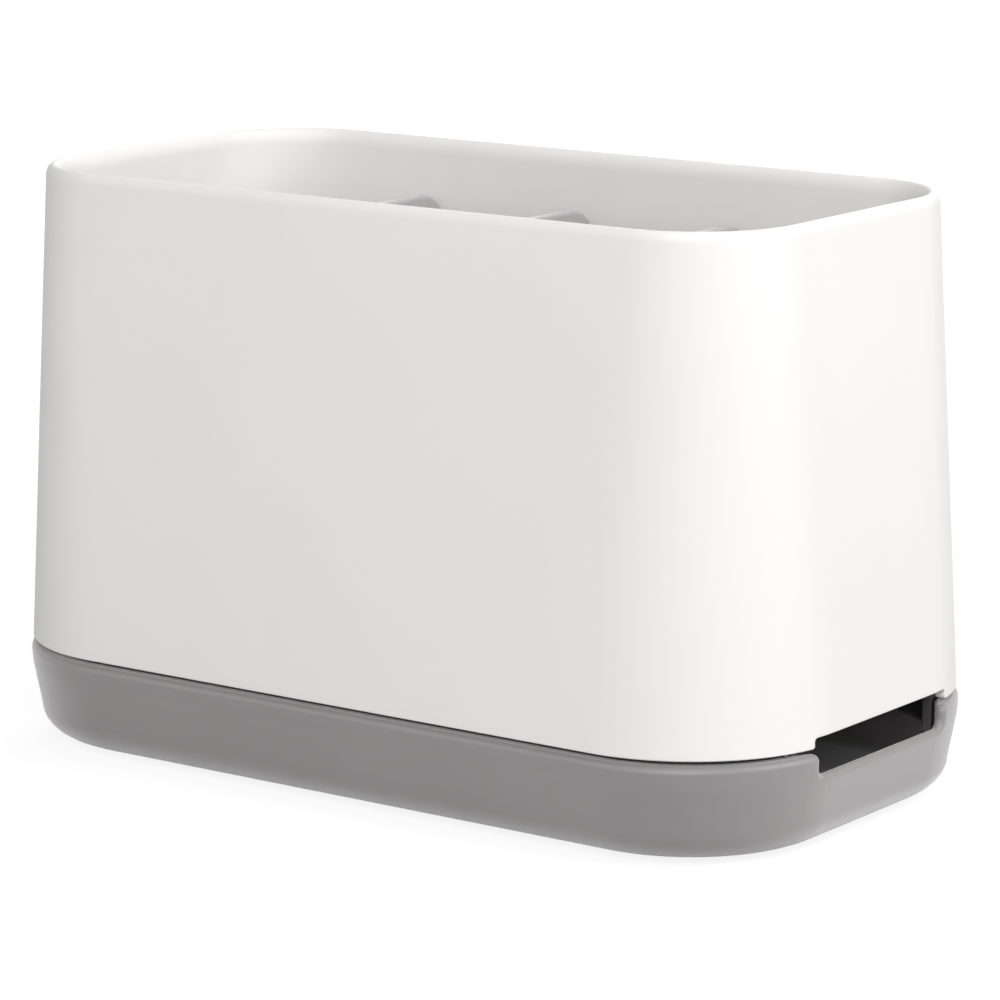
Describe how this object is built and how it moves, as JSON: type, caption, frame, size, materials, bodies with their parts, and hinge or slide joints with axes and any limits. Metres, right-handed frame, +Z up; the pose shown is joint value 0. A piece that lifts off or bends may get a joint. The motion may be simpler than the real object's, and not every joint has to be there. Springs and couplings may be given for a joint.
{
  "type": "bathroom organizer",
  "caption": "Open rectangular bathroom organizer: lift-off sleeve over a vented floor with upright dividers, standing on a shallow drip tray with end notches.",
  "frame": {"origin": "on the ground, in the plane of the feet, under the middle of the tray", "axes": "+X along the tray's length, towards the right of the picture; +Y across it, towards the back; +Z up"},
  "size_m": [0.1838, 0.0992, 0.1155],
  "materials": {
    "white_plastic": "satin",
    "grey_plastic": "satin",
    "grey_rubber": "matte"
  },
  "bodies": {
    "base": {"drip_tray": "grey_plastic", "foot_front_left": "grey_rubber", "foot_front_right": "grey_rubber", "foot_rear_left": "grey_rubber", "foot_rear_right": "grey_rubber"},
    "sleeve": {"outer_sleeve": "white_plastic"},
    "insert": {"floor_insert": "grey_plastic"},
    "left_divider": {"divider_left": "grey_plastic"},
    "middle_divider": {"divider_middle": "grey_plastic"},
    "right_divider": {"divider_right": "grey_plastic"}
  },
  "joints": [
    {"name": "sleeve_lift", "type": "slide", "parent": "base", "child": "sleeve", "axis": [0, 0, 1], "range_m": [0, 0.2]},
    {"name": "insert_lift", "type": "slide", "parent": "base", "child": "insert", "axis": [0, 0, 1], "range_m": [0, 0.1]},
    {"name": "divider_left_lift", "type": "slide", "parent": "insert", "child": "left_divider", "axis": [0, 0, 1], "range_m": [0, 0.1]},
    {"name": "divider_middle_lift", "type": "slide", "parent": "insert", "child": "middle_divider", "axis": [0, 0, 1], "range_m": [0, 0.1]},
    {"name": "divider_right_lift", "type": "slide", "parent": "insert", "child": "right_divider", "axis": [0, 0, 1], "range_m": [0, 0.1]}
  ],
  "couplings": [
    {"joint": "insert_lift", "follows": "sleeve_lift", "ratio": 0.5}
  ]
}
